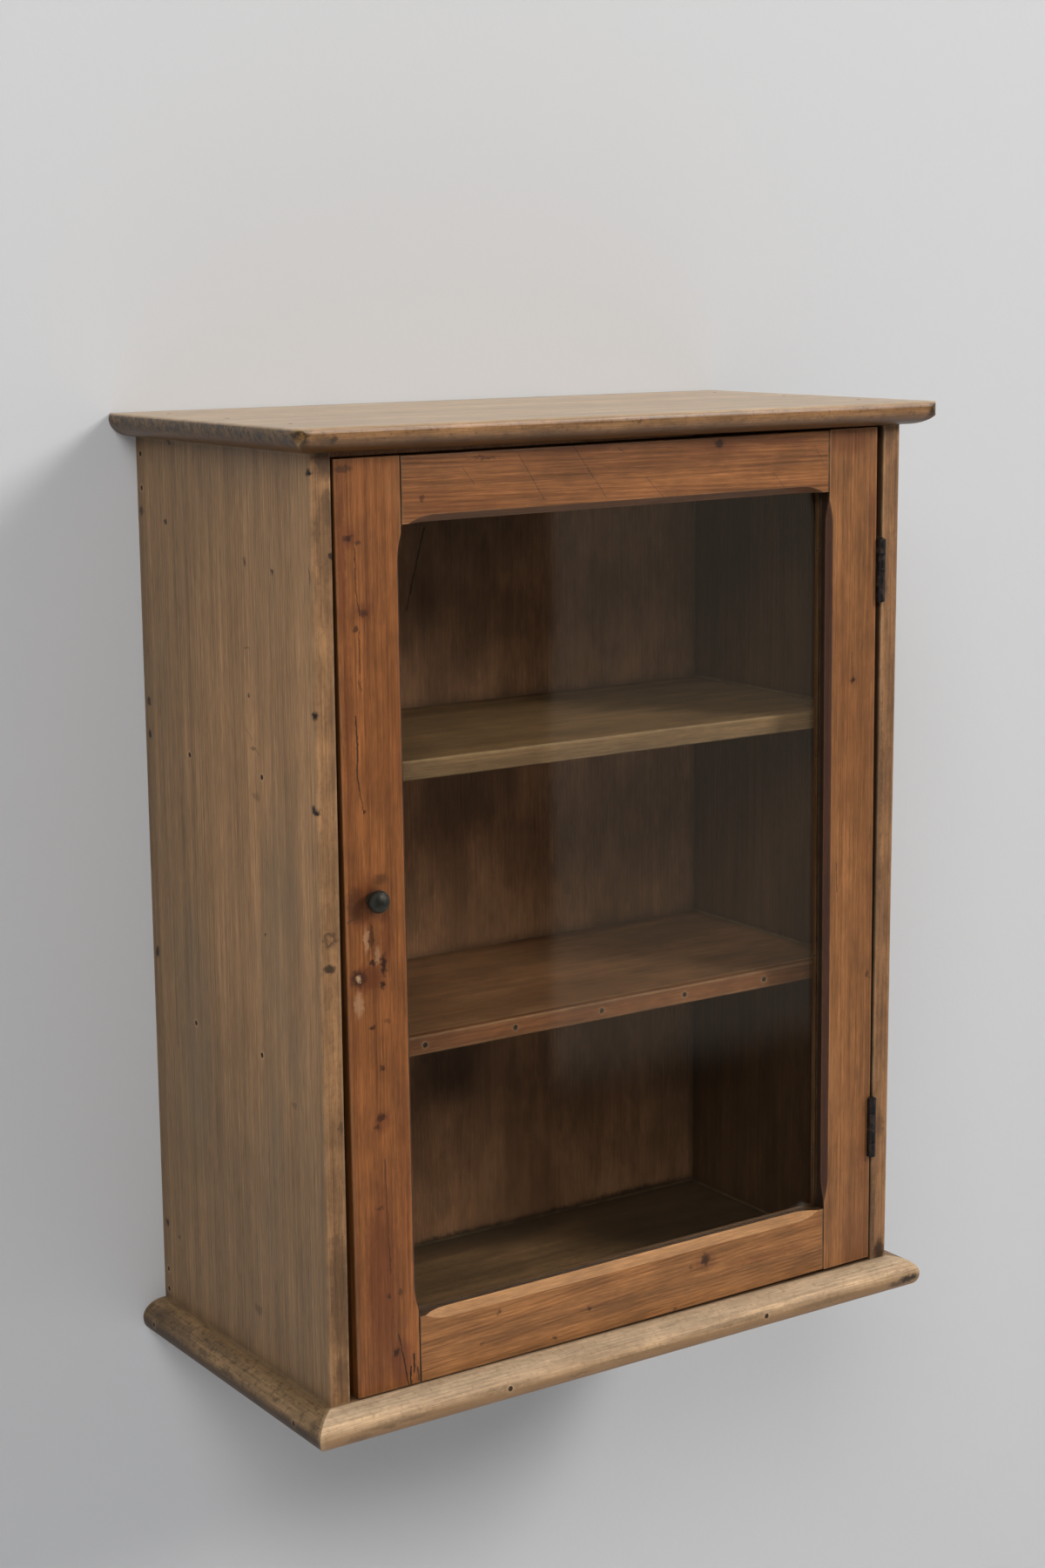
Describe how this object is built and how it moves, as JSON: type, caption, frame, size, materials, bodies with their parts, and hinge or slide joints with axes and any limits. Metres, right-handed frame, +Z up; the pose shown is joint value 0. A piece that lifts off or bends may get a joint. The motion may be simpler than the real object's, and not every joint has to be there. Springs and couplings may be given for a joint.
{
  "type": "wall-hung glass cabinet",
  "caption": "Wall-hung pine cabinet with a glazed door on butt hinges, a turn catch, fixed shelves, a moulded top and a half-round base moulding.",
  "frame": {"origin": "middle of the underside, at the centre of the overall width and depth", "axes": "+Z up, +Y towards the wall behind the cabinet, +X to the right of someone facing the door"},
  "size_m": [0.578, 0.288, 0.732],
  "materials": {
    "pine_case": "worn wax",
    "pine_moulding": "worn wax",
    "pine_door": "satin wax",
    "pine_inner": "matte",
    "glass": "polished",
    "iron": "blackened",
    "steel": "rusted"
  },
  "bodies": {
    "case": {"left_side": "pine_case", "right_side": "pine_case", "top_board": "pine_case", "bottom_board": "pine_case", "front_moulding": "pine_moulding", "left_moulding": "pine_moulding", "right_moulding": "pine_moulding", "upper_shelf": "pine_inner", "lower_shelf": "pine_inner", "shelf_lipping": "pine_inner", "back_panel": "pine_inner", "hanging_batten": "pine_inner", "lower_batten": "pine_inner", "keeper_block": "pine_inner", "upper_hinge_case_leaf": "iron", "upper_hinge_pin": "iron", "lower_hinge_case_leaf": "iron", "lower_hinge_pin": "iron", "top_nails": "steel", "bottom_nails": "steel", "moulding_nails": "steel", "side_nails": "steel", "back_nails": "steel", "lipping_nails": "steel", "keeper_nails": "steel", "hinge_case_screws": "steel"},
    "door": {"left_stile": "pine_door", "right_stile": "pine_door", "top_rail": "pine_door", "bottom_rail": "pine_door", "glass_pane": "glass", "glazing_bead_top": "pine_inner", "glazing_bead_bottom": "pine_inner", "glazing_bead_left": "pine_inner", "glazing_bead_right": "pine_inner", "glazing_pins": "steel", "knob_rose": "iron", "upper_hinge_door_leaf": "iron", "lower_hinge_door_leaf": "iron", "hinge_door_screws": "steel"},
    "latch": {"knob": "iron", "knob_spindle": "iron", "latch_spacer": "iron", "latch_tongue": "iron", "latch_nut": "iron"}
  },
  "joints": [
    {"name": "door_swing", "type": "hinge", "parent": "case", "child": "door", "pos_m": [0.2484, -0.1238, 0.369], "axis": [0, 0, 1], "range_deg": [0, 175]},
    {"name": "knob_turn", "type": "hinge", "parent": "door", "child": "latch", "pos_m": [-0.2228, -0.1114, 0.397], "axis": [0, 1, 0], "range_deg": [0, 90]}
  ]
}
